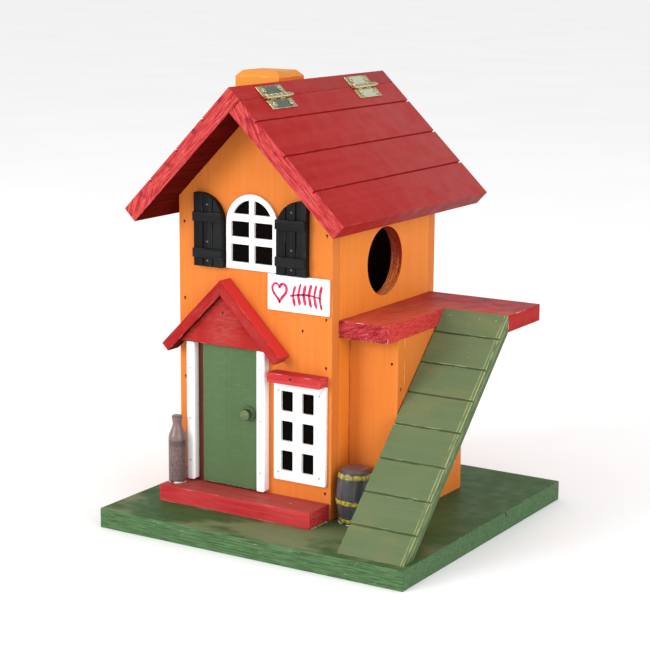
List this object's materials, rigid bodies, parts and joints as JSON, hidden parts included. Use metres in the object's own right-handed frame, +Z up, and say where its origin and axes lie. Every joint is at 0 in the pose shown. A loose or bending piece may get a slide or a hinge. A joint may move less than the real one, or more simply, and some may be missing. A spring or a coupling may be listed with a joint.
{
  "type": "birdhouse",
  "caption": "Painted wooden birdhouse like a small two-storey house, with an entrance landing, a ramp up to it and a hinged roof panel.",
  "frame": {"origin": "centre of the base plate's underside", "axes": "+Z up, +Y from the house's front to its back, +X to the side with the entrance and ramp"},
  "size_m": [0.1926, 0.1876, 0.2489],
  "materials": {
    "orange_paint": "satin orange paint over fine wood grain",
    "red_paint": "satin crimson paint, paler on end grain",
    "green_paint": "satin dark green paint over wood grain",
    "sage_paint": "satin sage green paint with worn edges",
    "white_paint": "satin white paint",
    "black_paint": "satin black paint",
    "bare_wood": "unpainted planed softwood",
    "brown_paint": "matt brown-grey paint, rough on the lower body",
    "barrel_paint": "satin dark grey paint with yellow painted hoops",
    "brass": "bright brass plate",
    "steel": "plain steel wire nails and screws"
  },
  "bodies": {
    "house": {"base_plate": "green_paint", "front_wall": "orange_paint", "back_wall": "orange_paint", "left_wall": "orange_paint", "right_wall": "orange_paint", "nest_floor": "bare_wood", "left_roof_board": "red_paint", "chimney": "orange_paint", "front_hinge_fixed_leaf": "brass", "front_hinge_pin": "steel", "rear_hinge_fixed_leaf": "brass", "rear_hinge_pin": "steel", "hinge_screws_fixed": "steel", "annex_front": "orange_paint", "annex_side": "orange_paint", "annex_back": "orange_paint", "platform_board": "red_paint", "ramp": "sage_paint", "door_step": "red_paint", "door": "sage_paint", "door_knob": "sage_paint", "door_post_left": "white_paint", "door_post_right": "white_paint", "gable_left_board": "red_paint", "gable_right_board": "red_paint", "gable_panel": "red_paint", "lower_window_frame": "white_paint", "lower_window_lintel": "red_paint", "arch_window_frame": "white_paint", "left_shutter": "black_paint", "left_shutter_battens": "black_paint", "right_shutter": "black_paint", "right_shutter_battens": "black_paint", "sign_board": "white_paint", "bottle": "brown_paint", "barrel": "barrel_paint", "wall_nails": "steel", "base_nails": "steel", "roof_nails": "steel", "annex_nails": "steel", "ramp_nails": "steel", "trim_nails": "steel"},
    "lid": {"roof_lid": "red_paint", "front_hinge_lid_leaf": "brass", "rear_hinge_lid_leaf": "brass", "hinge_screws_lid": "steel"}
  },
  "joints": [
    {"name": "lid_hinge", "type": "hinge", "parent": "house", "child": "lid", "pos_m": [-0.01815, 0.013, 0.23902], "axis": [0, -1, 0], "range_deg": [0, 170]}
  ]
}
